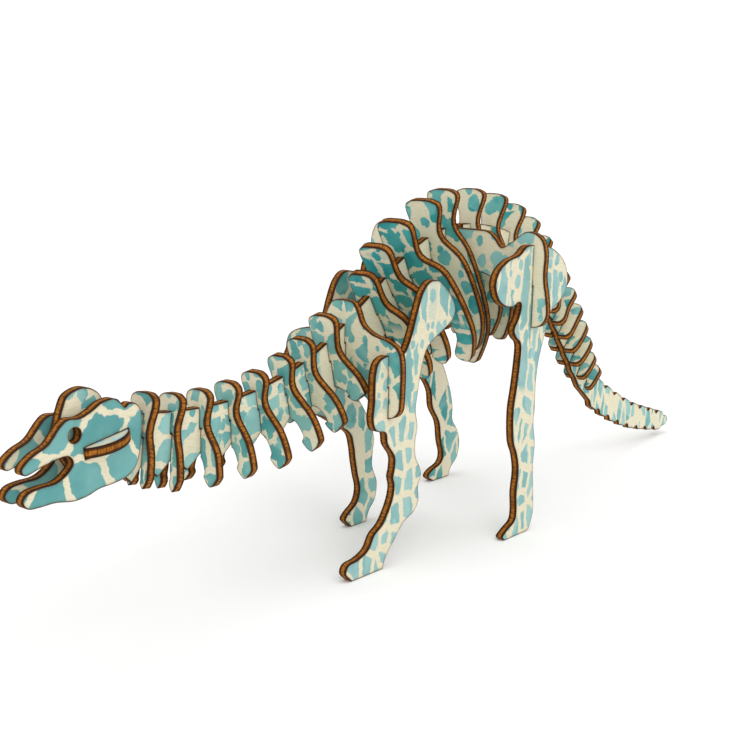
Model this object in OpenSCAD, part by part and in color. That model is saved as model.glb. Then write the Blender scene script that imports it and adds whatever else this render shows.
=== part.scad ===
// Slot-together plywood sauropod: flat plates halved into one long spine plate.
// +X runs from the snout to the tail tip, -Y is the animal's left side, +Z is up.
// The origin is on the ground under the middle of the model.

/* [Overall] */
// Length from the snout to the tail tip
length = 335; // [290:1:402]
// Height of the highest back plate above the ground
height = 105; // [95:1:126]
// Width across the hip plate
width = 68; // [64:1:80]

/* [Plywood] */
// Thickness of the plywood sheet
ply = 2.5; // [2.1:0.1:3]
// Play on each side of a plate in its slot
slot_play = 0.1; // [0.05:0.01:0.15]
// Play between the floors of two slots that meet
seat_play = 0.1; // [0:0.05:0.2]

/* [Spine] */
// How far the lower edge of the neck dips between two ribs
neck_point = 4; // [2:0.5:5]
// How far the lower edge of the back dips between two ribs
back_point = 2; // [0:0.5:3]
// Height of one tooth on the edges of the tail
tooth_h = 1.4; // [0.8:0.1:2]
// Number of teeth along the tail
teeth = 8; // [5:1:10]

/* [Head] */
// Gap between the skull and a cheek plate
cheek_gap = 0.6; // [0.4:0.1:1]
// Diameter of the eye hole
eye_d = 3.4; // [2.5:0.1:4]
// Length of the ear plate along the head
ear_len = 13.2; // [12:0.1:14]
// How far the ear plate stands out of a cheek
ear_out = 3.2; // [2:0.1:5]
// Radius of the two bowed edges of the ear plate
ear_round = 9; // [8.5:0.5:16]
// Angle at which the ear plate rises towards the back
ear_tilt = 10; // [0:1:12]
// Height of the middle of the ear plate above the ground
ear_z = 50.1; // [49.6:0.1:50.6]

/* [Legs] */
// Distance from the middle of the model to a front leg
front_leg_y = 15.5; // [15.3:0.1:18.6]
// Distance from the middle of the model to a hind leg
hind_leg_y = 27.5; // [22.9:0.1:28.5]
// Share of a girdle lobe that its leg slot takes
leg_lap = 0.5; // [0.4:0.05:0.6]

/* [Hidden] */
sx = length / 335;
sz = height / 105;
sy = width / 68;
slot_w = ply + 2 * slot_play;
// Half thickness of a plate plus its play
half_slot = slot_w / 2;
cheek_y = ply + cheek_gap;
ear_half = cheek_y + ply / 2 + ear_out;
fine = 5;

sand = "#e6dcbf";
teal = "#5aaeb2";
sky = "#8fc7cc";

// Upper edge of the spine: distance along, height, depth of the plate under a rib
back = [
    [-142, 56.5, 14], [-126, 54, 12], [-105, 53, 11], [-86, 55.3, 11], [-66, 61.8, 12],
    [-46, 73.5, 14], [-26, 86, 15], [-5, 93.3, 15], [20, 92.8, 14], [40, 87.2, 12],
    [55, 77.5, 10], [68, 66, 9], [81, 49.5, 8], [92, 36.8, 8], [106, 28.3, 9],
    [130, 17.6, 8], [150, 11.6, 6.5], [163, 8, 5]];

// Ribs: place along the back, lean, rise over the spine, knob, waist, waist below top,
// shoulder, shoulder below top, belly, tip, reach below the spine, width of the arm
ribs = [
    [-128.5, -6, 5, 3.9, 2.4, 9.5, 3.6, 15, 3.8, 3.6, 18, 2.3],
    [-119.5, -4, 4.3, 3.8, 2.3, 9, 3.6, 15, 4.2, 3.8, 19.8, 2.6],
    [-110, 0, 4.5, 3.8, 2.6, 9, 6.2, 15, 7.1, 6.8, 19.8, 4.3],
    [-99.8, 4, 4.8, 4, 2.7, 8.5, 6.6, 15, 8.1, 7.8, 20, 4.7],
    [-89.5, 9, 4.9, 4, 2.9, 9, 7.4, 15.5, 9.4, 8.9, 21, 5.1],
    [-79, 13, 5.6, 4, 3.2, 9.2, 8.4, 16, 10.6, 9.9, 21, 5.3],
    [-70.6, 14.5, 6.5, 4.3, 3.8, 10, 9.4, 16.5, 11.8, 10.8, 20, 5.5],
    [-61, 15, 7.6, 4.6, 4.2, 10.5, 9.8, 17, 12, 11, 17, 5.5],
    [-42.3, 33, 7.4, 4.7, 5.2, 10.5, 10.8, 16.5, 13.2, 12.2, 30, 5],
    [-35, 34, 10.6, 5.3, 5.6, 11, 11, 17, 13.6, 12.6, 32, 5.4],
    [-26, 28, 11.6, 6, 6.2, 11.5, 14, 17, 18.2, 15.8, 36, 6],
    [-14, 17, 11.4, 6, 5, 11, 12.4, 19, 16.4, 14, 36.5, 6],
    [-5, 8, 11.7, 5.4, 3.6, 10.7, 9.6, 20, 15, 11.6, 42, 5.6],
    [9, 0, 10.9, 5.2, 3.2, 10.6, 7.6, 20, 13, 11, 35, 5.2],
    [21.5, -7, 10.4, 5, 3, 10.8, 6.4, 18, 11.4, 10.4, 36, 4.8],
    [33, -14, 9.6, 4.6, 2.9, 10.6, 5.6, 17, 8.4, 7.2, 22, 4],
    [42.5, -20, 9, 4.5, 2.9, 9, 5.2, 14, 7, 6, 17, 3.4]];

// Tail plates: place along the back, lean, rise over the spine, knob, middle, foot, reach
tail_plates = [
    [50.5, -33, 8, 4.6, 3.6, 6.2, 12],
    [58, -37, 7.2, 4.7, 3.8, 6, 11],
    [64.5, -40, 6.6, 4.8, 4.2, 5.8, 10.4],
    [70, -43, 6, 5, 4.8, 5.4, 9.6],
    [74.6, -45, 5.8, 5.6, 5.8, 5.8, 9.2],
    [79.2, -46, 5.4, 5.8, 6.2, 5.8, 8.6],
    [84, -46, 5, 5.6, 5.9, 5.4, 8],
    [89, -43, 4.4, 5.2, 5.3, 4.8, 7.2],
    [95, -38, 3.8, 4.8, 4.6, 4.1, 6.4]];

shoulder_x = -53;
hip_x = 1.8;
shoulder_foot = 43.5;
hip_foot = 65;
shoulder_leg_top = 61;
hip_leg_top = 89.5;

shoulder_half = [
    [0, 75], [3.2, 74.6], [5, 72.6], [7, 68.6], [11, 66.2], [16, 65], [19.6, 62.8], [20.8, 58.5],
    [20.9, 50], [20.4, 45.6], [17.6, 43.5], [14, 43.6], [11.6, 45.6], [8.6, 48.6], [4, 49.4],
    [0, 49.4]];
hip_half = [
    [0, 92.8], [8, 92.8], [12.2, 92.4], [14.8, 90.4], [17.2, 88], [20.6, 89.8], [25.6, 93.3],
    [30.4, 92], [32.4, 87.5],
    [32.4, 80], [33.6, 73.5], [33.9, 68.4], [31.4, 65.2], [26.2, 65.2], [22.8, 69], [18.4, 76],
    [12, 79.4], [6, 80], [0, 80]];

cheek = [
    [0, 48.6], [3, 51], [7, 52.7], [10, 55.8], [12.4, 57.4], [16, 57.3], [19, 58.3], [22, 59.8],
    [25.4, 60.3], [27.4, 59.3], [29, 57.8], [30.4, 58.5], [32.6, 58], [34.2, 55.4], [34, 50.5],
    [33.5, 46], [32.2, 43], [29.6, 41.2], [25.6, 40.4], [21.4, 40], [18, 39], [14, 38.6],
    [9, 39.3], [5, 39.2], [1.6, 39.4], [0.1, 41.2], [1.6, 43], [5, 43.6], [9, 43.8],
    [12, 45.2], [13.8, 47.2], [12.6, 49], [9.4, 49], [5, 47.9], [1, 46.9]];
eye = [14.4, 53.6];

// The front of the spine is the skull with its rounded crest
skull = [
    [-134, 54.8], [-139, 56.2], [-141.8, 58.8], [-143.4, 61.2], [-146.2, 62.9], [-149.4, 63.1],
    [-152.6, 61.8], [-154, 59.2], [-155, 56], [-155.6, 53], [-154.4, 49.6], [-152.6, 46.4],
    [-149.8, 43.6], [-146, 42.2], [-138, 41.8]];

// Upper half of a front leg, from the back of the shoulder blade to the front of its lobe
front_top = [
    [-38.6, 55], [-36.6, 60.4], [-33, 63.2], [-28.6, 65.4], [-24.4, 67.6], [-22.4, 70.4],
    [-23.2, 73.4], [-26.4, 76.8], [-31, 80], [-35.6, 80.2], [-39, 77.4], [-41.4, 72.4],
    [-43.6, 66.4], [-46.4, 61.6], [-50, 60.4], [-54.5, 61.2], [-58.6, 60], [-60.2, 56],
    [-60.2, 49], [-60.6, 44], [-59, 40.8]];
left_front_low = [
    [-54.6, 39.4], [-53.6, 36], [-50.2, 32], [-50, 28.6], [-50.6, 26], [-49.8, 22.8], [-51, 18.6],
    [-54.4, 13.6], [-58.4, 11], [-61, 7.4], [-65.4, 5.6], [-69.6, 5], [-70.8, 2.6], [-68, 0]];
left_front_back = [
    [-54, 0], [-52.6, 3.4], [-48.4, 7.8], [-44.6, 11.6], [-39.6, 13.8], [-37.6, 17], [-38, 21],
    [-36.8, 25], [-39.8, 30.2], [-40.2, 35], [-39.4, 39], [-40.6, 44], [-39.6, 50]];
right_front_low = [
    [-54, 39.6], [-46, 38.2], [-38.4, 34.4], [-31.2, 30.4], [-29, 26], [-28, 21.4], [-26.6, 16.2],
    [-25.2, 11.6], [-26.4, 7.4], [-30.6, 4.6], [-32, 2.6], [-29, 0]];
right_front_back = [
    [-21.4, 0], [-20, 3.4], [-17.2, 6.6], [-16.4, 12], [-19, 17.6], [-19, 22.8], [-18.6, 27],
    [-22, 34], [-28.4, 42], [-35, 49.6]];

left_hind_top = [
    [10.8, 64.6], [13, 68.8], [17.6, 71.2], [21.2, 74.6], [22, 78.8], [19.6, 83.4], [14.4, 86.9],
    [8, 89], [1.8, 89.5], [-3.4, 89.4], [-7.6, 87], [-13.4, 85.8], [-18.4, 83], [-20.2, 79], [-18, 74.6],
    [-14, 72.4], [-10, 72], [-7, 73], [-5.2, 72]];
left_hind_low = [
    [-6.2, 68.6], [-8.6, 65.2], [-7.4, 62.6], [-4.4, 60], [-4.6, 54], [-5.6, 47], [-6.8, 40],
    [-6, 31], [-3.4, 26], [-2, 20.6], [-2.6, 14], [-2, 8], [-2.8, 5], [-6.6, 3.2], [-9.4, 1.4],
    [-8, 0]];
left_hind_back = [
    [4.6, 0], [6.6, 1.2], [8.4, 6.4], [7.6, 14], [6.8, 21], [7.2, 28], [5.8, 34], [6, 40],
    [5.8, 47], [6.8, 54], [9, 60]];
right_hind_top = [
    [22.4, 62], [24.2, 66.6], [24, 72], [22, 78], [17.6, 82.6], [10, 85], [1.8, 85.6], [-4, 84.6],
    [-8.4, 81], [-9.6, 76.4], [-8.4, 72]];
right_hind_low = [
    [-6.2, 68.6], [-6.4, 64], [-2, 59], [5, 52.6], [14, 45.6], [24, 39.4], [29.4, 33.4], [31, 27],
    [35.4, 21], [37, 14], [38.8, 9], [37.4, 5.8], [32, 4], [30, 2], [33, 0]];
right_hind_back = [
    [42.6, 0], [44.2, 3], [48, 6.4], [49, 11.6], [47.6, 16], [44, 20.6], [43.6, 26], [41.4, 32.6],
    [37, 41], [31, 49], [26, 55]];

// Smooth curve through the points of a list, open at both ends
function bend(a, b, c, d, t) =
    ((-a + 3 * b - 3 * c + d) * t * t * t + (2 * a - 5 * b + 4 * c - d) * t * t
     + (c - a) * t + 2 * b) / 2;
function smooth(p, n = fine) = let (m = len(p) - 1) [
    for (i = [0 : m - 1], k = [0 : n - 1])
        bend(p[max(i - 1, 0)], p[i], p[i + 1], p[min(i + 2, m)], k / n), p[m]];
// Closed smooth outline
function ring(p, n = fine) = let (m = len(p)) [
    for (i = [0 : m - 1], k = [0 : n - 1])
        bend(p[(i + m - 1) % m], p[i], p[(i + 1) % m], p[(i + 2) % m], k / n)];
function scaled(p, a, b) = [for (q = p) [q[0] * a, q[1] * b]];
function back_to_front(p) = [for (i = [len(p) - 1 : -1 : 0]) p[i]];
// Half outline from the top middle to the bottom middle, mirrored to a whole one
function both_sides(p) = concat(p, [for (i = [len(p) - 2 : -1 : 1]) [-p[i][0], p[i][1]]]);

// Height and depth of the spine at a place along it, by a smooth curve through the table
function row(x, i = 0) = i >= len(back) - 2 || x < back[i + 1][0] ? i : row(x, i + 1);
function rise(i, c) = let (a = max(i - 1, 0), b = min(i + 1, len(back) - 1))
    (back[b][c] - back[a][c]) / (back[b][0] - back[a][0]);
function along(x, c) =
    let (i = row(x), w = back[i + 1][0] - back[i][0], t = (x - back[i][0]) / w)
    back[i][c] * (2 * t * t * t - 3 * t * t + 1) + back[i + 1][c] * (3 * t * t - 2 * t * t * t)
    + rise(i, c) * w * (t * t * t - 2 * t * t + t) + rise(i + 1, c) * w * (t * t * t - t * t);
function slope(x) = atan((along(x + 0.2, 1) - along(x - 0.2, 1)) / 0.4);
// A point at a depth under the upper edge, square to it
function under(x, d) = [x + d * sin(slope(x)), along(x, 1) - d * cos(slope(x))];

function lean_of(a) = atan(tan(a) * sx / sz);
function notch_at(x) = along(x, 2) * 0.48 * sz;

// A plate in the XZ plane with its middle at y
module upright(y) {
    translate([0, y + ply / 2, 0]) rotate([90, 0, 0]) linear_extrude(ply) children();
}
// A plate across the spine, standing on the back curve
module across(x, z, lean) {
    translate([x, 0, z]) rotate([0, -lean, 0]) rotate([90, 0, 90])
        linear_extrude(ply, center = true) children();
}
// A slot of the sheet's thickness that opens along +Y of the drawing
module slot(floor_at, reach) {
    translate([-half_slot, floor_at]) square([slot_w, reach]);
}
module spine_notch(x, lean, depth) {
    translate([x * sx, along(x, 1) * sz]) rotate(lean) slot(-depth, 60);
}

low_x = concat([-134], [for (r = ribs) r[0]], [for (r = tail_plates) r[0]]);
function spine_low(i) = under(low_x[i], along(low_x[i], 2));
function spine_dip(i) = let (x = (low_x[i] + low_x[i + 1]) / 2)
    under(x, along(x, 2) + (x < -56 ? neck_point : x < 50 ? back_point : 0.5));
// Teeth along one edge of the tail: side 1 is the upper edge, side -1 the lower edge
tooth_x0 = 99;
tooth_step = (163 - tooth_x0) / teeth;
function tooth_row(side) = [
    for (k = [0 : teeth - 1], q = [[0.12, 0], [0.3, 1], [0.82, 0.8], [1, 0]])
        let (x = tooth_x0 + tooth_step * (k + q[0]), d = side > 0 ? 0 : along(x, 2))
        under(x, d - side * tooth_h * q[1])];

spine_outline = concat(
    smooth(back_to_front(skull)),
    [for (x = [-130 : 4 : 98]) [x, along(x, 1)]],
    tooth_row(1), [[166, 7.2], [167.5, 5.4], [165.6, 3.6]],
    back_to_front(tooth_row(-1)),
    [for (i = [len(low_x) - 2 : -1 : 0]) each [spine_low(i + 1), spine_dip(i)]]);

// Middle of the ear plate, back from the snout
ear_x = -143.8 * sx;
module ear_hole() {
    translate([ear_x, ear_z * sz]) rotate(ear_tilt)
        square([ear_len * sx + 2 * slot_play, slot_w], center = true);
}

module spine() color(sand) upright(0) difference() {
    polygon(scaled(spine_outline, sx, sz));
    for (r = ribs) spine_notch(r[0], lean_of(r[1]), notch_at(r[0]));
    for (r = tail_plates) spine_notch(r[0], lean_of(r[1]), notch_at(r[0]));
    spine_notch(shoulder_x, 0, notch_at(shoulder_x));
    spine_notch(hip_x, 0, notch_at(hip_x));
    ear_hole();
}

module cheek_plate(side) color(teal) upright(side * cheek_y) difference() {
    translate([-length / 2, 0]) polygon(scaled(ring(cheek), sx, sz));
    translate([-length / 2 + eye[0] * sx, eye[1] * sz]) circle(d = eye_d, $fn = 48);
    ear_hole();
}

// The ear plate passes through the skull and both cheeks
module ear_plate() color(sky) translate([ear_x, 0, ear_z * sz]) rotate([0, -ear_tilt, 0])
    linear_extrude(ply, center = true) intersection() {
        square([ear_len * sx, 2 * ear_half], center = true);
        translate([0, ear_half - ear_round]) circle(r = ear_round, $fn = 120);
        translate([0, ear_round - ear_half]) circle(r = ear_round, $fn = 120);
    }

module rib(r) {
    h = r[2];
    low = -r[10];
    arch = -along(r[0], 2) - 1.2;
    // Inside of the arm: at its tip, and half way up to the arch over the gap
    tip_y = r[9] - r[11];
    arm_y = min(max(r[8] - r[11], 1.5), tip_y + (arch - low) * 0.25);
    half = [
        [0, h], [r[3] * 0.6, h - 0.3], [r[3], h - 2.4], [r[4], h - r[5]], [r[6], h - r[7]],
        [r[8], low + (h - r[7] - low) * 0.42], [r[9], low + 2], [r[9] - r[11] / 2, low],
        [tip_y, low + min(2.2, (arch - low) * 0.3)], [arm_y, (low + arch) / 2],
        [arm_y * 0.6, arch - min(0.6, (arch - low) * 0.1)], [0, arch]];
    color(teal) across(r[0] * sx, along(r[0], 1) * sz, lean_of(r[1])) difference() {
        polygon(scaled(both_sides(smooth(half)), sy, sz));
        translate([-half_slot, low * sz - 5])
            square([slot_w, 5 - low * sz - notch_at(r[0]) + seat_play]);
    }
}

module tail_plate(r) {
    h = r[2];
    low = -r[6];
    half = [
        [0, h], [r[3] * 0.65, h - 0.3], [r[3], h - 2.2], [r[4], (h + low) / 2],
        [r[5], low + 2.4], [r[5] * 0.8, low + 0.3], [r[5] * 0.4, low], [0, low]];
    color(teal) across(r[0] * sx, along(r[0], 1) * sz, lean_of(r[1])) difference() {
        polygon(scaled(both_sides(smooth(half)), sy, sz));
        translate([-half_slot, low * sz - 5])
            square([slot_w, 5 - low * sz - notch_at(r[0]) + seat_play]);
    }
}

// Height at which a girdle and its leg share their slots
function share(foot, top) = (foot + (top - foot) * leg_lap) * sz;

module girdle(x, half, foot, leg_top, leg_y) {
    across(x * sx, 0, 0) difference() {
        polygon(scaled(both_sides(smooth(half)), sy, sz));
        translate([-half_slot, foot * sz - 5])
            square([slot_w, along(x, 1) * sz - notch_at(x) + seat_play - foot * sz + 5]);
        for (s = [-1, 1]) translate([s * leg_y * sy - half_slot, foot * sz - 5])
            square([slot_w, share(foot, leg_top) + seat_play - foot * sz + 5]);
    }
}
module leg(x, outline, foot, leg_top) difference() {
    polygon(scaled(outline, sx, sz));
    translate([x * sx, 0]) slot(share(foot, leg_top), 60);
}
function leg_line(top, low, heel) = smooth(concat(heel, top, low));

module shoulder_girdle() color(teal)
    girdle(shoulder_x, shoulder_half, shoulder_foot, shoulder_leg_top, front_leg_y);
module hip_girdle() color(sand) girdle(hip_x, hip_half, hip_foot, hip_leg_top, hind_leg_y);

module leg_front_left() color(sky) upright(-front_leg_y * sy)
    leg(shoulder_x, leg_line(front_top, left_front_low, left_front_back), shoulder_foot,
        shoulder_leg_top);
module leg_front_right() color(teal) upright(front_leg_y * sy)
    leg(shoulder_x, leg_line(front_top, right_front_low, right_front_back), shoulder_foot,
        shoulder_leg_top);
module leg_hind_left() color(sky) upright(-hind_leg_y * sy)
    leg(hip_x, leg_line(left_hind_top, left_hind_low, left_hind_back), hip_foot, hip_leg_top);
module leg_hind_right() color(teal) upright(hind_leg_y * sy)
    leg(hip_x, leg_line(right_hind_top, right_hind_low, right_hind_back), hip_foot, hip_leg_top);

spine();
cheek_plate(-1);  // cheek_left
cheek_plate(1);  // cheek_right
ear_plate();
shoulder_girdle();
hip_girdle();
leg_front_left();
leg_front_right();
leg_hind_left();
leg_hind_right();
for (i = [1 : 8]) rib(ribs[i - 1]);
for (i = [1 : 6]) rib(ribs[i + 7]);
for (i = [1 : 3]) rib(ribs[i + 13]);
for (i = [1 : 9]) tail_plate(tail_plates[i - 1]);
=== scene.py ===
import math
import random

import bmesh
import bpy
import numpy as np
from mathutils import Matrix, Vector, geometry


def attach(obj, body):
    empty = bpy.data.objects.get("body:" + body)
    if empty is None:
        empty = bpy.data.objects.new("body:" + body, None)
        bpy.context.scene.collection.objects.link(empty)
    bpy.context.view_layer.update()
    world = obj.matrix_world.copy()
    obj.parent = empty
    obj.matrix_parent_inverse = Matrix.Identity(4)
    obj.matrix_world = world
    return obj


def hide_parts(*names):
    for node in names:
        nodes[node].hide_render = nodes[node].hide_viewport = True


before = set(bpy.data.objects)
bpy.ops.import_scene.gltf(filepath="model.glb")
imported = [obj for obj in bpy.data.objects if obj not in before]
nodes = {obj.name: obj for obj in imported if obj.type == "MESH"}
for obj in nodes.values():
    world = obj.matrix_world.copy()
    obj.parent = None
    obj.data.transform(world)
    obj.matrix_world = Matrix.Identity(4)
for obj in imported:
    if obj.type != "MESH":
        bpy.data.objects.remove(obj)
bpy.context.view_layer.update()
print("frame loaded,", len(nodes), "plates")

mm = 0.001
scene = bpy.context.scene


def linear(colour):  # sRGB hex to linear RGBA
    parts = [int(colour[i:i + 2], 16) / 255 for i in (1, 3, 5)]
    return [c / 12.92 if c <= 0.04045 else ((c + 0.055) / 1.055) ** 2.4 for c in parts] + [1.0]


# Inputs take a value, a hex colour, an output socket or a list of output sockets.
def addNode(tree, kind, inputs=None, **settings):
    node = tree.nodes.new(kind)
    for key, value in settings.items():
        setattr(node, key, value)
    for key, value in (inputs or {}).items():
        several = value if isinstance(value, list) else [value]
        if isinstance(several[0], bpy.types.NodeSocket):
            for source in several:
                tree.links.new(source, node.inputs[key])
        else:
            isHex = isinstance(value, str) and value.startswith("#")
            node.inputs[key].default_value = linear(value) if isHex else value
    return node.outputs


def addObject(name, data):
    obj = bpy.data.objects.new(name, data)
    scene.collection.objects.link(obj)
    return obj


# Camera: low three-quarter view from the snout, on the animal's left side
camera = {"lens": 61.85, "sensor": 36, "yaw": 53.1, "down": 10.7, "roll": 1.8,
          "place": (-0.3341, -0.2222, 0.1213), "clip": (0.01, 20)}


def makeCamera(look):
    yaw, down, roll = (math.radians(look[k]) for k in ("yaw", "down", "roll"))
    ahead = Vector((math.sin(yaw) * math.cos(down), math.cos(yaw) * math.cos(down), -math.sin(down)))
    right = Vector((math.cos(yaw), -math.sin(yaw), 0))
    up = right.cross(ahead)
    right, up = (right * math.cos(roll) + up * math.sin(roll),
                 up * math.cos(roll) - right * math.sin(roll))
    data = bpy.data.cameras.new("camera")
    data.lens, data.sensor_width = look["lens"], look["sensor"]
    data.clip_start, data.clip_end = look["clip"]
    obj = addObject("camera", data)
    turn = Matrix((right, up, -ahead)).transposed().to_4x4()
    obj.matrix_world = Matrix.Translation(look["place"]) @ turn
    scene.camera = obj


makeCamera(camera)
print("camera placed")

# What every print shares. Runs are waves per millimetre, reaches are millimetres from the cut.
sheet = {
    # cream ground, worn in pore streaks 0.3 mm wide and 3 mm long
    "ground": "#DDD6BC", "groundWorn": "#CDC4A5",
    "grainRuns": (0.35, 3.2, 0), "grainShows": (0.35, 0.8),
    # patches of ink: how uneven, how soft, and an edge that wanders over 4.5 mm and tears over 0.7
    "turn": 0, "stray": 0.9, "soft": 0.03, "bareSoft": 0.01,
    "wander": 0.22, "wanderBy": 3.2, "tearRuns": 1.5, "tear": 1.0,
    # round drops: millimetres apart, and their radius as a share of that
    "dot": 0, "dotSize": 0.16, "dotSpread": 0.22, "dotStray": 0.75, "dotTall": 0.8,
    "dotSoft": 0.04, "dotStart": (3.3, 7.1, 0),
    # other drawings on the same plate, a stretch without ink, and how they fade over, in metres
    "others": (), "plain": None, "seam": 0.002,
    # ink runs deep and pale in washes about 6 mm across
    "washRuns": 0.16, "washPatch": 0.5, "washLess": 0.25, "washSpan": (0.1, 0.75),
    # smoke, char and black lip beside the cut, uneven every 1.7 mm
    "sootRuns": 0.6, "smoke": "#B3935C", "smokeReach": (0.15, 1.1), "smokeBy": 0.55,
    "char": "#573312", "charWide": 0.26, "charSoot": 0.3, "charFade": 0.45,
    "lip": "#1B0E05", "lipReach": (0.085, 0.17),
    # satin ink on dull wood, and how high each stands; relief is in metres
    "rough": 0.6, "inkRough": -0.08, "grainRough": 0.12,
    "inkStands": 0.35, "grainStands": 0.6, "bump": 0.25, "relief": 0.00006,
    "ior": 1.47, "gloss": 0.3}

cloudy = {"Detail": 2.0, "Roughness": 0.55}  # noise for slow changes, torn edges and wood grain
torn = {"Detail": 3.0, "Roughness": 0.7}
grainy = {"Detail": 4.0, "Roughness": 0.6}
eased = {"interpolation_type": "SMOOTHSTEP"}


def newMaterial(name):
    material = bpy.data.materials.new(name)
    material.use_nodes = True
    tree = material.node_tree
    tree.nodes.clear()
    return material, tree


def patches(tree, bent, look):  # ink over the sheet, and the chances drawn for each patch
    wide, tall = look["cell"]
    cells = addNode(tree, "ShaderNodeMapping",
                    {"Vector": bent, "Scale": (1 / wide, 1 / tall, 0),
                     "Rotation": (0, 0, math.radians(look["turn"]))})[0]
    border = addNode(tree, "ShaderNodeTexVoronoi",
                     {"Vector": cells, "Scale": 1.0, "Randomness": look["stray"]},
                     voronoi_dimensions="2D", feature="DISTANCE_TO_EDGE")["Distance"]
    patch = addNode(tree, "ShaderNodeTexVoronoi",
                    {"Vector": cells, "Scale": 1.0, "Randomness": look["stray"]},
                    voronoi_dimensions="2D", feature="F1")
    chance = addNode(tree, "ShaderNodeSeparateColor", {"Color": patch["Color"]})
    inked = addNode(tree, "ShaderNodeMapRange",
                    {"Value": border, "From Min": look["gap"],
                     "From Max": look["gap"] + look["soft"]}, **eased)[0]
    kept = addNode(tree, "ShaderNodeMapRange",
                   {"Value": chance[0], "From Min": look["bare"],
                    "From Max": look["bare"] + look["bareSoft"]}, **eased)[0]
    inked = addNode(tree, "ShaderNodeMath", {0: inked, 1: kept}, operation="MULTIPLY")[0]
    if look["dot"]:  # round drops where the ground stays bare
        dots = addNode(tree, "ShaderNodeMapping",
                       {"Vector": bent, "Location": look["dotStart"],
                        "Scale": (1 / look["dot"], look["dotTall"] / look["dot"], 0)})[0]
        drop = addNode(tree, "ShaderNodeTexVoronoi",
                       {"Vector": dots, "Scale": 1.0, "Randomness": look["dotStray"]},
                       voronoi_dimensions="2D", feature="F1")
        some = addNode(tree, "ShaderNodeSeparateColor", {"Color": drop["Color"]})[1]
        size = addNode(tree, "ShaderNodeMath", {0: some, 1: look["dotSpread"], 2: look["dotSize"]},
                       operation="MULTIPLY_ADD")[0]
        depth = addNode(tree, "ShaderNodeMath", {0: size, 1: drop["Distance"]},
                        operation="SUBTRACT")[0]
        dotted = addNode(tree, "ShaderNodeMapRange",
                         {"Value": depth, "From Min": 0.0, "From Max": look["dotSoft"]},
                         **eased)[0]
        inked = addNode(tree, "ShaderNodeMath", {0: inked, 1: dotted}, operation="MAXIMUM")[0]
    return inked, chance


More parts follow.
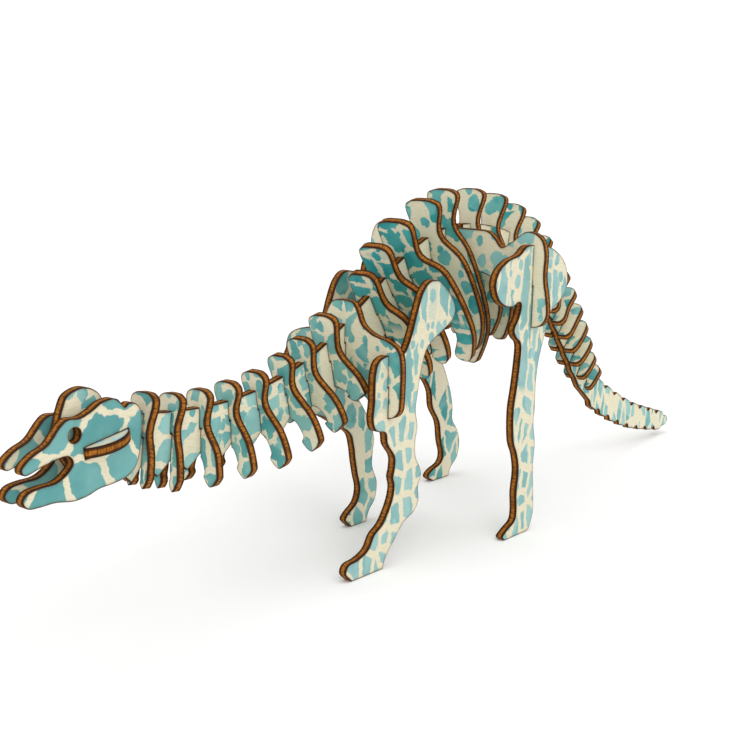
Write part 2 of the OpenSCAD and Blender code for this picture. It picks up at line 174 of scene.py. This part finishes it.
# Screen-printed basswood plywood: a flat cream ground under satin teal ink in ragged patches, and
# a brown char line along each laser cut.
def printedPly(name, look):
    material, tree = newMaterial(name)
    plate = addNode(tree, "ShaderNodeAttribute", attribute_name="plate")["Vector"]
    edge = addNode(tree, "ShaderNodeAttribute", attribute_name="edge")["Fac"]

    # Ragged ink edge: a slow wander and a fine tear, both added to the place on the sheet
    bent = plate
    for runs, kind, far in ((look["wander"], cloudy, look["wanderBy"]),
                            (look["tearRuns"], torn, look["tear"])):
        stray = addNode(tree, "ShaderNodeTexNoise",
                        {"Vector": plate, "Scale": runs, **kind})["Color"]
        stray = addNode(tree, "ShaderNodeVectorMath", {0: stray, 1: (far,) * 3, 2: (-far / 2,) * 3},
                        operation="MULTIPLY_ADD")[0]
        bent = addNode(tree, "ShaderNodeVectorMath", {0: bent, 1: stray}, operation="ADD")[0]
    inked, chance = patches(tree, bent, look)

    here = addNode(tree, "ShaderNodeTexCoord")["Object"]
    here = addNode(tree, "ShaderNodeSeparateXYZ", {"Vector": here})
    for other in look["others"]:  # another drawing below, ahead of or past a place
        drawn, _ = patches(tree, bent, {**sheet, **other})
        side = addNode(tree, "ShaderNodeMapRange",
                       {"Value": here[other["axis"]], "From Min": other["at"] - look["seam"],
                        "From Max": other["at"] + look["seam"]}, **eased)[0]
        pair = {2: inked, 3: drawn} if other.get("past") else {2: drawn, 3: inked}
        inked = addNode(tree, "ShaderNodeMix", {0: side, **pair})[0]
    if look["plain"]:  # no ink between these two places along the model
        low, high = look["plain"]
        ahead = addNode(tree, "ShaderNodeMapRange",
                        {"Value": here[0], "From Min": low, "From Max": low + look["seam"],
                         "To Min": 1.0, "To Max": 0.0}, **eased)[0]
        past = addNode(tree, "ShaderNodeMapRange",
                       {"Value": here[0], "From Min": high, "From Max": high + look["seam"]},
                       **eased)[0]
        shown = addNode(tree, "ShaderNodeMath", {0: ahead, 1: past}, operation="MAXIMUM")[0]
        inked = addNode(tree, "ShaderNodeMath", {0: inked, 1: shown}, operation="MULTIPLY")[0]

    # Ink depth varies over a patch as in a watercolour, and a little from patch to patch
    wash = addNode(tree, "ShaderNodeTexNoise",
                   {"Vector": plate, "Scale": look["washRuns"], **cloudy})["Fac"]
    wash = addNode(tree, "ShaderNodeMath", {0: wash, 1: look["washLess"]}, operation="SUBTRACT")[0]
    wash = addNode(tree, "ShaderNodeMath", {0: chance[1], 1: look["washPatch"], 2: wash},
                   operation="MULTIPLY_ADD")[0]
    low, high = look["washSpan"]
    wash = addNode(tree, "ShaderNodeMapRange",
                   {"Value": wash, "From Min": low, "From Max": high}, **eased)[0]
    ink = addNode(tree, "ShaderNodeMix", {0: wash, 6: look["inkDeep"], 7: look["inkPale"]},
                  data_type="RGBA")[2]

    # Cream ground, worn along the grain of the veneer
    grain = addNode(tree, "ShaderNodeMapping", {"Vector": plate, "Scale": look["grainRuns"]})[0]
    grain = addNode(tree, "ShaderNodeTexNoise", {"Vector": grain, "Scale": 1.0, **grainy})["Fac"]
    low, high = look["grainShows"]
    worn = addNode(tree, "ShaderNodeMapRange",
                   {"Value": grain, "From Min": low, "From Max": high}, **eased)[0]
    ground = addNode(tree, "ShaderNodeMix", {0: worn, 6: look["ground"], 7: look["groundWorn"]},
                     data_type="RGBA")[2]
    colour = addNode(tree, "ShaderNodeMix", {0: inked, 6: ground, 7: ink}, data_type="RGBA")[2]

    # Smoke halo, char and the black lip of the cut, by distance from the cut
    soot = addNode(tree, "ShaderNodeTexNoise",
                   {"Vector": plate, "Scale": look["sootRuns"], **cloudy})["Fac"]
    near, far = look["smokeReach"]
    halo = addNode(tree, "ShaderNodeMapRange",
                   {"Value": edge, "From Min": near, "From Max": far, "To Min": 1.0, "To Max": 0.0},
                   **eased)[0]
    haze = addNode(tree, "ShaderNodeMath", {0: soot, 1: look["smokeBy"]}, operation="MULTIPLY")[0]
    halo = addNode(tree, "ShaderNodeMath", {0: halo, 1: haze}, operation="MULTIPLY")[0]
    wide = addNode(tree, "ShaderNodeMath", {0: soot, 1: look["charSoot"], 2: look["charWide"]},
                   operation="MULTIPLY_ADD")[0]
    burnt = addNode(tree, "ShaderNodeMath", {0: edge, 1: wide}, operation="DIVIDE")[0]
    burnt = addNode(tree, "ShaderNodeMapRange",
                    {"Value": burnt, "From Min": look["charFade"], "From Max": 1.0,
                     "To Min": 1.0, "To Max": 0.0}, **eased)[0]
    near, far = look["lipReach"]
    black = addNode(tree, "ShaderNodeMapRange",
                    {"Value": edge, "From Min": near, "From Max": far, "To Min": 1.0, "To Max": 0.0},
                    **eased)[0]
    for share, tone, how in ((halo, look["smoke"], "MULTIPLY"), (burnt, look["char"], "MIX"),
                             (black, look["lip"], "MIX")):
        colour = addNode(tree, "ShaderNodeMix", {0: share, 6: colour, 7: tone}, data_type="RGBA",
                         blend_type=how)[2]

    # Ink lies a little smoother and higher than the bare ground; grain shows through both
    rough = addNode(tree, "ShaderNodeMath",
                    {0: inked, 1: look["inkRough"], 2: look["rough"] - look["grainRough"] / 2},
                    operation="MULTIPLY_ADD")[0]
    rough = addNode(tree, "ShaderNodeMath", {0: grain, 1: look["grainRough"], 2: rough},
                    operation="MULTIPLY_ADD")[0]
    height = addNode(tree, "ShaderNodeMath", {0: grain, 1: look["grainStands"]},
                     operation="MULTIPLY")[0]
    height = addNode(tree, "ShaderNodeMath", {0: inked, 1: look["inkStands"], 2: height},
                     operation="MULTIPLY_ADD")[0]
    bump = addNode(tree, "ShaderNodeBump",
                   {"Height": height, "Strength": look["bump"], "Distance": look["relief"]})[0]
    shader = addNode(tree, "ShaderNodeBsdfPrincipled",
                     {"Base Color": colour, "Roughness": rough, "Normal": bump,
                      "IOR": look["ior"], "Specular IOR Level": look["gloss"]})[0]
    addNode(tree, "ShaderNodeOutputMaterial", {"Surface": shader})
    return material


# Laser-cut edge of three-ply basswood: dark at both lips, amber in the core, a darker glue line
# on each side of it, and fine upright scorch lines from the pulsed beam. The layers lie over the
# core colour in this order: pattern, where it starts and is full, how much, colour.
edgeLook = {"core": "#A86820",
            "layers": (("ply", (0.36, 0.44), 1.0, "#422207"),    # glue line
                       ("ply", (0.46, 0.56), 1.0, "#6C3E12"),    # outer veneer
                       ("across", (0.42, 0.9), 1.0, "#110701"),  # lip
                       ("lines", (0.42, 0.64), 0.7, "#281203"),  # scorch lines
                       ("slow", (0.42, 0.7), 0.5, "#422207")),   # smoked stretches
            # scorch lines 0.5 mm apart so that they show, the real ones are finer
            "line": 1.9, "lineLean": 0.5, "slow": 0.22, "plyWander": 0.2,
            "bump": 0.4, "relief": 0.00008, "rough": 0.82, "ior": 1.5, "gloss": 0.15}


def laserEdge(name, look):
    material, tree = newMaterial(name)
    plate = addNode(tree, "ShaderNodeAttribute", attribute_name="plate")["Vector"]
    deep = addNode(tree, "ShaderNodeAttribute", attribute_name="deep")["Fac"]
    along = addNode(tree, "ShaderNodeSeparateXYZ", {"Vector": plate})[2]
    across = addNode(tree, "ShaderNodeMath", {0: deep}, operation="ABSOLUTE")[0]
    lineX = addNode(tree, "ShaderNodeMath", {0: along, 1: look["line"]}, operation="MULTIPLY")[0]
    lineY = addNode(tree, "ShaderNodeMath", {0: deep, 1: look["lineLean"]}, operation="MULTIPLY")[0]
    at = addNode(tree, "ShaderNodeCombineXYZ", {0: lineX, 1: lineY})[0]
    lines = addNode(tree, "ShaderNodeTexNoise",
                    {"Vector": at, "Scale": 1.0, **cloudy})["Fac"]
    at = addNode(tree, "ShaderNodeCombineXYZ", {0: along, 1: deep})[0]
    slow = addNode(tree, "ShaderNodeTexNoise",
                   {"Vector": at, "Scale": look["slow"], **cloudy})["Fac"]
    ply = addNode(tree, "ShaderNodeMath", {0: across, 1: look["plyWander"] / 2},
                  operation="SUBTRACT")[0]
    ply = addNode(tree, "ShaderNodeMath", {0: slow, 1: look["plyWander"], 2: ply},
                  operation="MULTIPLY_ADD")[0]
    patterns = {"ply": ply, "across": across, "lines": lines, "slow": slow}
    colour = look["core"]
    for pattern, (low, high), amount, tone in look["layers"]:
        share = addNode(tree, "ShaderNodeMapRange",
                        {"Value": patterns[pattern], "From Min": low, "From Max": high,
                         "To Max": amount}, **eased)[0]
        colour = addNode(tree, "ShaderNodeMix", {0: share, 6: colour, 7: tone},
                         data_type="RGBA")[2]
    bump = addNode(tree, "ShaderNodeBump",
                   {"Height": lines, "Strength": look["bump"], "Distance": look["relief"]})[0]
    shader = addNode(tree, "ShaderNodeBsdfPrincipled",
                     {"Base Color": colour, "Normal": bump, "Roughness": look["rough"],
                      "IOR": look["ior"], "Specular IOR Level": look["gloss"]})[0]
    addNode(tree, "ShaderNodeOutputMaterial", {"Surface": shader})
    return material


# One print for each kind of plate. A cell is a patch's width and height in millimetres, gap the
# bare line between patches as a share of one, and bare the share of patches left out. Where a
# plate has other drawings, each starts at a place in metres along that axis of the model.
prints = {
    "Neck": {"plates": ("neck_rib", "shoulder_girdle"), "cell": (5.6, 7.0), "gap": 0.12,
             "bare": 0.2, "tear": 0.8, "dot": 4.0, "inkDeep": "#429292", "inkPale": "#7CB1AB"},
    "Chest": {"plates": ("chest_rib_1", "chest_rib_2", "chest_rib_3"), "cell": (8.0, 6.6),
              "gap": 0.09, "bare": 0.12, "tear": 1.5, "dot": 4.2,
              "inkDeep": "#04858A", "inkPale": "#48A5A4",
              "others": ({"cell": (16.0, 4.4), "gap": 0.17, "bare": 0.2,
                          "axis": 2, "at": 0.066},)},
    "Spot": {"plates": ("chest_rib_4", "chest_rib_5", "chest_rib_6", "hip_rib"),
             "cell": (6.5, 6.5), "gap": 0.15, "bare": 0.6, "dot": 5.5, "dotSize": 0.22,
             "inkDeep": "#259194", "inkPale": "#6CB0AD",
             "others": ({"cell": (16.0, 4.4), "gap": 0.17, "bare": 0.2,
                         "axis": 2, "at": 0.062},)},
    "Girdle": {"plates": ("hip_girdle",), "cell": (7.0, 9.0), "gap": 0.16, "bare": 0.62,
               "tear": 0.7, "dot": 5.5, "dotSize": 0.2, "inkDeep": "#5DA5A4",
               "inkPale": "#8BBDB9"},
    "NearLeg": {"plates": ("leg_front_left", "leg_hind_left"), "cell": (4.4, 18.0), "gap": 0.11,
                "bare": 0.22, "wanderBy": 2.4, "dot": 4.5, "inkDeep": "#75A7A6",
                "inkPale": "#94BAB7",
                "others": ({"cell": (5.2, 7.4), "gap": 0.15, "bare": 0.12,
                            "axis": 2, "at": 0.046},)},
    "FarLeg": {"plates": ("leg_front_right", "leg_hind_right"), "cell": (5.5, 8.5), "gap": 0.1,
               "bare": 0.22, "inkDeep": "#2E8C8B", "inkPale": "#7DB0AB"},
    "Head": {"plates": ("cheek",), "cell": (12.5, 11.0), "gap": 0.06, "bare": 0.0,
             "wanderBy": 4.0, "tear": 0.5, "inkDeep": "#529393", "inkPale": "#6DA5A3"},
    "Ear": {"plates": ("ear_plate",), "cell": (9.0, 5.0), "gap": 0.1, "bare": 0.0,
            "inkDeep": "#A5C9D2", "inkPale": "#BBD8DE"},
    "Spine": {"plates": ("spine",), "cell": (7.0, 5.5), "gap": 0.12, "bare": 0.3, "turn": 40,
              "dot": 4.5, "plain": (-0.066, 0.042), "inkDeep": "#5C9F9E", "inkPale": "#8FBBB6",
              "others": ({"cell": (4.2, 16.0), "gap": 0.12, "bare": 0.25, "turn": -24,
                          "axis": 0, "at": 0.097, "past": True},
                         {"cell": (6.0, 6.0), "gap": 0.2, "bare": 0.5, "dot": 5.0,
                          "dotSize": 0.2, "axis": 0, "at": -0.134})},
    "Tail": {"plates": ("tail_plate",), "cell": (7.0, 4.6), "gap": 0.12, "bare": 0.2,
             "turn": 35, "inkDeep": "#2F8E90", "inkPale": "#84B5B0"},
}
printed = {key: printedPly("printedBasswood" + key, {**sheet, **look})
           for key, look in prints.items()}
cutEdge = laserEdge("laserCutBasswood", edgeLook)
print("materials made,", len(printed) + 1)

# How a plate is meshed, in millimetres: the eased lip, rings of points inside the outline, steps
# along it and the grid across the middle. The crease is in degrees.
plateLook = {"lip": 0.12, "rings": (0.3, 0.6, 1.2), "everyPointWithin": 0.5, "step": 1.0,
             "grid": 3.0, "ringClear": 0.9, "gridClear": 1.3, "onOutline": 0.02,
             "sharpestMitre": 0.6, "sameWithin": 1e-5, "weld": 0.002, "crease": 28}
aligned, facing = 0.9, 0.99  # cosines: a plate lies along an axis, a face belongs to its front
cadWeld = 1e-6
tiny = 1e-12  # keeps a division away from zero


# Flat directions of a plate, its normal, middle plane and thickness, read from its CAD solid
def plateFrame(name):
    mesh = nodes[name].data
    areas = {}
    for face in mesh.polygons:
        n = face.normal
        longest = max((abs(n.x), 0), (abs(n.y), 1), (abs(n.z), 2))[1]
        n = n.copy() if n[longest] > 0 else -n
        tag = tuple(round(c, 2) for c in n)
        total, vector = areas.get(tag, (0.0, Vector()))
        areas[tag] = (total + face.area, vector + n * face.area)
    normal = max(areas.values(), key=lambda pair: pair[0])[1].normalized()
    if abs(normal.y) > aligned:  # lengthwise plates: spine, legs and cheeks
        normal = Vector((0, -1, 0))
        u, v = Vector((1, 0, 0)), Vector((0, 0, 1))
    elif abs(normal.z) > aligned:  # the ear plate
        normal = normal if normal.z > 0 else -normal
        v = Vector((0, 1, 0))
        u = v.cross(normal)
    else:  # cross plates
        normal = -normal if normal.x > 0 else normal
        u = Vector((0, -1, 0))
        v = normal.cross(u)
    depth = [vert.co.dot(normal) for vert in mesh.vertices]
    return u, v, normal, (min(depth) + max(depth)) / 2, max(depth) - min(depth)


def outlines(name, u, v, normal):  # closed loops of the plate's outline
    mesh = bmesh.new()
    mesh.from_mesh(nodes[name].data)
    bmesh.ops.remove_doubles(mesh, verts=mesh.verts, dist=cadWeld)
    front = [f for f in mesh.faces if f.normal.dot(normal) > facing]
    chosen, follow = set(front), {}
    for face in front:
        for loop in face.loops:
            if not any(f in chosen for f in loop.edge.link_faces if f is not face):
                follow.setdefault(loop.vert.index, []).append(loop.link_loop_next.vert.index)
    mesh.verts.ensure_lookup_table()
    flat = {i: (mesh.verts[i].co.dot(u) / mm, mesh.verts[i].co.dot(v) / mm) for i in follow}
    loops = []
    while follow:
        at, path = next(iter(follow)), []
        while at in follow:
            path.append(flat[at])
            after = follow[at].pop()
            if not follow[at]:
                del follow[at]
            at = after
        loops.append(np.array(path))
    mesh.free()
    return loops


def divided(loop, step):  # long straight runs cut into steps
    points = []
    for a, b in zip(loop, np.roll(loop, -1, axis=0)):
        count = max(1, int(math.ceil(np.hypot(*(b - a)) / step)))
        points += [a + (b - a) * k / count for k in range(count)]
    return np.array(points)


def inward(loop, sharpest):  # mitred unit step into the material at each point of a loop
    both = 0
    for run in (loop - np.roll(loop, 1, axis=0), np.roll(loop, -1, axis=0) - loop):
        long = np.maximum(np.hypot(run[:, 0], run[:, 1]), tiny)
        both = both + np.stack([-run[:, 1], run[:, 0]], 1) / long[:, None]
    return 2 * both / np.maximum((both ** 2).sum(1), sharpest)[:, None]


def toOutline(points, loops):  # distance of each point from the nearest stretch of outline
    best = np.full(len(points), np.inf)
    batch = 400  # keeps the tables small
    for a in loops:
        d = np.roll(a, -1, axis=0) - a
        length = np.maximum((d ** 2).sum(1), tiny)
        for start in range(0, len(points), batch):
            p = points[start:start + batch]
            t = (((p[:, None] - a[None]) * d[None]).sum(2) / length[None]).clip(0, 1)
            gap = p[:, None] - (a[None] + t[..., None] * d[None])
            best[start:start + batch] = np.minimum(best[start:start + batch],
                                                   np.sqrt((gap ** 2).sum(2)).min(1))
    return best


def inside(points, loops):  # crossings to the right of each point, counted over all loops
    hit = np.zeros(len(points), int)
    px, py = points[:, 0][:, None], points[:, 1][:, None]
    for a in loops:
        b = np.roll(a, -1, axis=0)
        crosses = (a[:, 1][None] > py) != (b[:, 1][None] > py)
        rise = b[:, 1] - a[:, 1]
        rise = np.where(np.abs(rise) < tiny, tiny, rise)
        x = a[:, 0][None] + (py - a[:, 1][None]) * ((b[:, 0] - a[:, 0]) / rise)[None]
        hit += (crosses & (px < x)).sum(1)
    return hit % 2 == 1


# One skin of a plate in its middle plane. Its points know their distance from the cut, whether
# they are on its lip, and their place on the sheet with the way walked along the outline.
def flatMesh(name, look, shift):
    u, v, normal, middle, thick = plateFrame(name)
    loops = [divided(loop, look["step"]) for loop in outlines(name, u, v, normal)]
    points, fixed, walk = [], [], []
    for loop in loops:
        first, count = len(points), len(loop)
        points += list(loop)
        fixed += [(first + k, first + (k + 1) % count) for k in range(count)]
        steps = np.hypot(*(np.roll(loop, -1, axis=0) - loop).T)
        walk += list(np.concatenate([[0], np.cumsum(steps)[:-1]]))
    for far in (look["lip"],) + look["rings"]:
        for loop in loops:
            ring = loop + inward(loop, look["sharpestMitre"]) * far
            good = (toOutline(ring, loops) > far * look["ringClear"]) & inside(ring, loops)
            points += list(ring[good][::1 if far < look["everyPointWithin"] else 2])
    rim = np.concatenate(loops)
    low, high = rim.min(0), rim.max(0)
    grid = np.array([(x, y) for x in np.arange(low[0], high[0], look["grid"])
                     for y in np.arange(low[1], high[1], look["grid"])])
    grid = grid[inside(grid, loops)]
    points += list(grid[toOutline(grid, loops) > look["rings"][-1] * look["gridClear"]])
    result = geometry.delaunay_2d_cdt([Vector(p) for p in points], fixed, [], 1,
                                       look["sameWithin"])
    flat = np.array([tuple(p) for p in result[0]])
    centres = np.array([flat[list(face)].mean(0) for face in result[2]])
    faces = [tuple(face) for face, kept in zip(result[2], inside(centres, loops)) if kept]
    mesh = bpy.data.meshes.new(name + "Flat")
    mesh.from_pydata([u * (p[0] * mm) + v * (p[1] * mm) + normal * middle for p in flat], [], faces)
    if sum(face.normal.dot(normal) < 0 for face in mesh.polygons) > len(faces) / 2:
        mesh.flip_normals()
    away = toOutline(flat, loops)
    for key, data in (("edge", away), ("lip", away < look["onOutline"])):
        mesh.attributes.new(key, "FLOAT", "POINT").data.foreach_set("value", data.astype(np.float32))
    source = [ids[0] if ids else len(walk) for ids in result[3]]
    walked = [walk[s] if s < len(walk) else 0.0 for s in source]
    place = np.stack([flat[:, 0] + shift[0], flat[:, 1] + shift[1], walked], 1).astype(np.float32)
    mesh.attributes.new("plate", "FLOAT_VECTOR", "POINT").data.foreach_set("vector", place.ravel())
    return mesh, normal, thick


# One tree cuts every plate: both skins are laid off the middle plane, the lip of the cut is
# eased, and the cut wall is drawn between them.
def cutPlateTree():
    tree = bpy.data.node_groups.new("cutPlate", "GeometryNodeTree")
    for label, way, kind in (("Geometry", "INPUT", "NodeSocketGeometry"),
                             ("Thickness", "INPUT", "NodeSocketFloat"),
                             ("Lip", "INPUT", "NodeSocketFloat"),
                             ("Normal", "INPUT", "NodeSocketVector"),
                             ("Print", "INPUT", "NodeSocketMaterial"),
                             ("Cut edge", "INPUT", "NodeSocketMaterial"),
                             ("Geometry", "OUTPUT", "NodeSocketGeometry")):
        tree.interface.new_socket(label, in_out=way, socket_type=kind)
    given = addNode(tree, "NodeGroupInput")
    half = addNode(tree, "ShaderNodeMath", {0: given["Thickness"], 1: 0.5}, operation="MULTIPLY")[0]
    isLip = addNode(tree, "GeometryNodeInputNamedAttribute", {"Name": "lip"},
                    data_type="FLOAT")["Attribute"]
    drop = addNode(tree, "ShaderNodeMath", {0: isLip, 1: given["Lip"]}, operation="MULTIPLY")[0]
    rise = addNode(tree, "ShaderNodeMath", {0: half, 1: drop}, operation="SUBTRACT")[0]
    share = addNode(tree, "ShaderNodeMath", {0: rise, 1: half}, operation="DIVIDE")[0]
    skins = []
    for side in (1, -1):
        skin = given["Geometry"]
        if side < 0:
            skin = addNode(tree, "GeometryNodeFlipFaces", {"Mesh": skin})[0]
        lift = addNode(tree, "ShaderNodeMath", {0: rise, 1: side}, operation="MULTIPLY")[0]
        step = addNode(tree, "ShaderNodeVectorMath", {0: given["Normal"], "Scale": lift},
                       operation="SCALE")[0]
        skin = addNode(tree, "GeometryNodeSetPosition", {"Geometry": skin, "Offset": step})[0]
        deep = addNode(tree, "ShaderNodeMath", {0: share, 1: side}, operation="MULTIPLY")[0]
        skins += [addNode(tree, "GeometryNodeStoreNamedAttribute",
                          {"Geometry": skin, "Name": "deep", "Value": deep},
                          data_type="FLOAT", domain="POINT")[0]]

    # The wall: the open edge of the sheet, laid back and pushed through to the front
    wallHalf = addNode(tree, "ShaderNodeMath", {0: half, 1: given["Lip"]}, operation="SUBTRACT")[0]
    behind = addNode(tree, "ShaderNodeMath", {0: wallHalf, 1: -1}, operation="MULTIPLY")[0]
    step = addNode(tree, "ShaderNodeVectorMath", {0: given["Normal"], "Scale": behind},
                   operation="SCALE")[0]
    wall = addNode(tree, "GeometryNodeSetPosition", {"Geometry": given["Geometry"],
                                                     "Offset": step})[0]
    count = addNode(tree, "GeometryNodeInputMeshEdgeNeighbors")[0]
    isOpen = addNode(tree, "FunctionNodeCompare", {2: count, 3: 1},
                     data_type="INT", operation="EQUAL")[0]
    through = addNode(tree, "ShaderNodeMath", {0: wallHalf, 1: 2}, operation="MULTIPLY")[0]
    push = addNode(tree, "GeometryNodeExtrudeMesh",
                   {"Mesh": wall, "Selection": isOpen, "Offset": given["Normal"],
                    "Offset Scale": through}, mode="EDGES")
    signed = addNode(tree, "ShaderNodeMath", {0: push["Top"], 1: 2, 2: -1},
                     operation="MULTIPLY_ADD")[0]
    wallShare = addNode(tree, "ShaderNodeMath", {0: wallHalf, 1: half}, operation="DIVIDE")[0]
    deep = addNode(tree, "ShaderNodeMath", {0: signed, 1: wallShare}, operation="MULTIPLY")[0]
    wall = addNode(tree, "GeometryNodeStoreNamedAttribute",
                   {"Geometry": push["Mesh"], "Name": "deep", "Value": deep},
                   data_type="FLOAT", domain="POINT")[0]
    wall = addNode(tree, "GeometryNodeSeparateGeometry",
                   {"Geometry": wall, "Selection": push["Side"]}, domain="FACE")[0]
    wall = addNode(tree, "GeometryNodeStoreNamedAttribute",
                   {"Geometry": wall, "Name": "wall", "Value": 1.0},
                   data_type="FLOAT", domain="FACE")[0]

    whole = addNode(tree, "GeometryNodeJoinGeometry", {0: [wall] + skins})[0]
    whole = addNode(tree, "GeometryNodeRealizeInstances", {"Geometry": whole})[0]
    whole = addNode(tree, "GeometryNodeSetMaterial",
                    {"Geometry": whole, "Material": given["Print"]})[0]
    isWall = addNode(tree, "GeometryNodeInputNamedAttribute", {"Name": "wall"},
                     data_type="FLOAT")["Attribute"]
    isWall = addNode(tree, "FunctionNodeCompare", {0: isWall, 1: 0.5},
                     data_type="FLOAT", operation="GREATER_THAN")[0]
    whole = addNode(tree, "GeometryNodeSetMaterial",
                    {"Geometry": whole, "Material": given["Cut edge"], "Selection": isWall})[0]
    addNode(tree, "NodeGroupOutput", {"Geometry": whole})
    return tree


cutPlate = cutPlateTree()
inputOf = {item.name: item.identifier for item in cutPlate.interface.items_tree
           if item.item_type == "SOCKET" and item.in_out == "INPUT"}


def cutFromSheet(name, look, material, shift):
    flat, normal, thick = flatMesh(name, look, shift)
    blank = addObject(name + "Blank", flat)
    cut = blank.modifiers.new("cutPlate", "NODES")
    cut.node_group = cutPlate
    for label, value in (("Thickness", thick), ("Lip", look["lip"] * mm), ("Normal", tuple(normal)),
                         ("Print", material), ("Cut edge", cutEdge)):
        cut[inputOf[label]] = value
    bpy.context.view_layer.update()
    graph = bpy.context.evaluated_depsgraph_get()
    mesh = bpy.data.meshes.new_from_object(blank.evaluated_get(graph), preserve_all_data_layers=True,
                                           depsgraph=graph)
    mesh.name = name + "Plate"
    work = bmesh.new()  # skins and wall become one closed shell
    work.from_mesh(mesh)
    bmesh.ops.remove_doubles(work, verts=work.verts, dist=look["weld"] * mm)
    bmesh.ops.recalc_face_normals(work, faces=work.faces)
    work.to_mesh(mesh)
    work.free()
    for key in ("lip", "wall"):
        mesh.attributes.remove(mesh.attributes[key])
    mesh.shade_smooth()
    mesh.set_sharp_from_angle(angle=math.radians(look["crease"]))
    bpy.data.objects.remove(blank)
    bpy.data.meshes.remove(flat)
    piece = addObject(name + "Plate", mesh)
    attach(piece, name)
    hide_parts(name)
    return len(mesh.polygons)


chooser = random.Random(7)
sheetSize = 400  # each plate's print starts at its own place on a sheet this wide
faceCount = 0
for name in sorted(nodes):
    shift = (chooser.uniform(0, sheetSize), chooser.uniform(0, sheetSize))
    kind = next(key for key, look in prints.items() if name.startswith(look["plates"]))
    faceCount += cutFromSheet(name, plateLook, printed[kind], shift)
print("plates cut,", faceCount, "faces")

# Matt white background paper, and a white surround that is softer overhead. Each sun has its
# power, its width in degrees and the side it shines from.
studio = {"floor": "#FBFBFA", "floorRough": 0.9, "reach": 30, "surround": "#FFFFFF",
          "low": 1.0, "high": 0.55, "band": (0.2, 0.5),
          "suns": (("key", 0.82, 45, (-0.75, -1.0, 0.6)), ("top", 1.4, 75, (-0.1, -0.15, 1.0)))}


def makeStudio(look):
    material, tree = newMaterial("paperFloor")
    shader = addNode(tree, "ShaderNodeBsdfPrincipled",
                     {"Base Color": look["floor"], "Roughness": look["floorRough"]})[0]
    addNode(tree, "ShaderNodeOutputMaterial", {"Surface": shader})
    far = look["reach"]
    mesh = bpy.data.meshes.new("floor")
    mesh.from_pydata([(-far, -far, 0), (far, -far, 0), (far, far, 0), (-far, far, 0)], [],
                     [(0, 1, 2, 3)])
    mesh.materials.append(material)
    addObject("floor", mesh)

    world = bpy.data.worlds.new("studio")
    scene.world = world
    world.use_nodes = True
    tree = world.node_tree
    tree.nodes.clear()
    aim = addNode(tree, "ShaderNodeTexCoord")["Generated"]
    up = addNode(tree, "ShaderNodeSeparateXYZ", {"Vector": aim})[2]
    start, end = look["band"]
    power = addNode(tree, "ShaderNodeMapRange",
                    {"Value": up, "From Min": start, "From Max": end,
                     "To Min": look["low"], "To Max": look["high"]},
                    **eased)[0]
    glow = addNode(tree, "ShaderNodeBackground", {"Color": look["surround"], "Strength": power})[0]
    addNode(tree, "ShaderNodeOutputWorld", {"Surface": glow})
    for name, energy, angle, place in look["suns"]:
        data = bpy.data.lights.new(name, "SUN")
        data.energy, data.angle = energy, math.radians(angle)
        lamp = addObject(name, data)
        lamp.rotation_euler = (-Vector(place)).to_track_quat("-Z", "Y").to_euler()
    scene.view_settings.view_transform = "Standard"


makeStudio(studio)
print("studio set")
